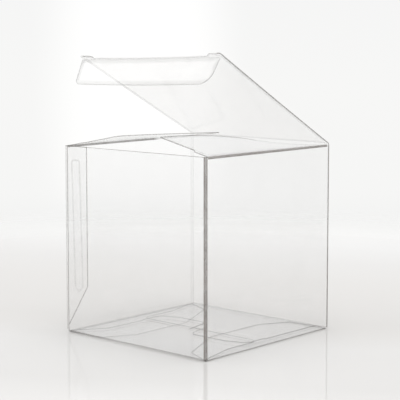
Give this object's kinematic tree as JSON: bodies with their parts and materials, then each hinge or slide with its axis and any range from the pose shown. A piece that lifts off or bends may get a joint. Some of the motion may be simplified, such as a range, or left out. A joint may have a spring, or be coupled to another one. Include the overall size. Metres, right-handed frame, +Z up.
{
  "type": "clear folding box",
  "caption": "Clear plastic folding box: a cube of creased sheet with a hinged lid, a tuck flap, dust flaps and a glued automatic bottom, stored partly open.",
  "frame": {"origin": "centre of the box's footprint, on the surface it stands on", "axes": "+Z up, -Y through the front wall that the lid tucks behind, +Y through the back wall that carries the lid, +X to the right"},
  "size_m": [0.1016, 0.1017, 0.1495],
  "materials": {
    "clear_sheet": "clear rigid plastic sheet, polished both sides, stress-whitened along its folds",
    "seam_glue": "clear glue squeezed flat in a thin bead"
  },
  "bodies": {
    "box": {"box_body": "clear_sheet", "seam_adhesive": "seam_glue"},
    "lid": {"lid": "clear_sheet"},
    "tuck_flap": {"tuck_flap": "clear_sheet"},
    "dust_flap_left": {"dust_flap_left": "clear_sheet"},
    "dust_flap_right": {"dust_flap_right": "clear_sheet"}
  },
  "joints": [
    {"name": "lid_hinge", "type": "hinge", "parent": "box", "child": "lid", "pos_m": [0, 0.05095, 0.10255], "axis": [-1, 0, 0], "range_deg": [-27.6, 232.4]},
    {"name": "tuck_flap_fold", "type": "hinge", "parent": "lid", "child": "tuck_flap", "pos_m": [0, -0.03772, 0.14868], "axis": [1, 0, 0], "range_deg": [-91.5, 8.5]},
    {"name": "left_dust_flap_fold", "type": "hinge", "parent": "box", "child": "dust_flap_left", "pos_m": [-0.0506, 0, 0.1018], "axis": [0, -1, 0], "range_deg": [-12.5, 105.3]},
    {"name": "right_dust_flap_fold", "type": "hinge", "parent": "box", "child": "dust_flap_right", "pos_m": [0.0506, 0, 0.1018], "axis": [0, 1, 0], "range_deg": [-12.5, 105.3]}
  ],
  "couplings": [
    {"joint": "left_dust_flap_fold", "follows": "lid_hinge", "ratio": 0.4529},
    {"joint": "right_dust_flap_fold", "follows": "lid_hinge", "ratio": 0.4529}
  ]
}
